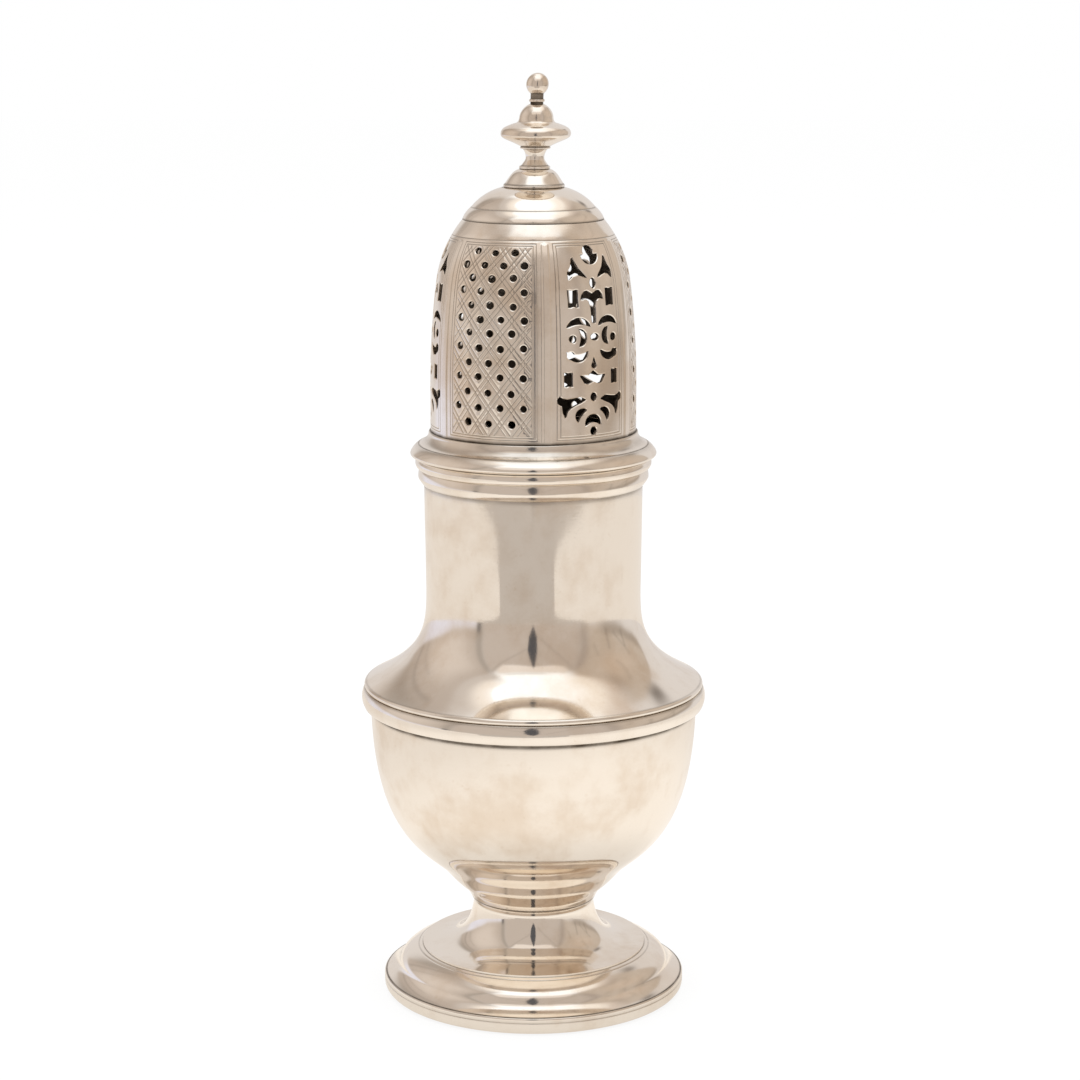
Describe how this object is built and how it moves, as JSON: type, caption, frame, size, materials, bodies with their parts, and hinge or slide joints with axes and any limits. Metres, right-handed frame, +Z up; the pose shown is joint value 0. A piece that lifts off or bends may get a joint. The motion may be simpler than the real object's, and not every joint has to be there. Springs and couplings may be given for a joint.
{
  "type": "sugar caster",
  "caption": "Baluster silver sugar caster: spreading foot, girdled bowl, waisted neck and a pull-off cover with a pierced dome and turned finial, for shaking sugar.",
  "frame": {"origin": "centre of the plane that the foot rim stands on", "axes": "+Z up along the axis of revolution, -Y to the viewer of the picture, +X to the viewer's right"},
  "size_m": [0.0746, 0.0746, 0.2],
  "materials": {
    "polished_silver": "hand polished silver with a warm tone and fine handling marks",
    "silver_moulding": "polished drawn silver moulding with dark tarnish in its creases",
    "pierced_silver": "polished pierced and engraved silver sheet, tarnish in the engraved lines",
    "turned_silver": "polished turned silver casting"
  },
  "bodies": {
    "vessel": {"foot_rim_wire": "silver_moulding", "foot_border": "polished_silver", "foot_trumpet": "polished_silver", "bowl": "polished_silver", "girdle_moulding": "silver_moulding", "neck_shell": "polished_silver", "neck_reeding": "silver_moulding"},
    "cover": {"cover_bezel": "polished_silver", "cover_rim_moulding": "silver_moulding", "cover_cavetto": "silver_moulding", "pierced_dome": "pierced_silver", "cap_band": "silver_moulding", "cap_dome": "polished_silver", "finial_pedestal": "turned_silver", "finial": "turned_silver"}
  },
  "joints": [
    {"name": "cover_lift", "type": "slide", "parent": "vessel", "child": "cover", "axis": [0, 0, 1], "range_m": [0, 0.05]}
  ]
}
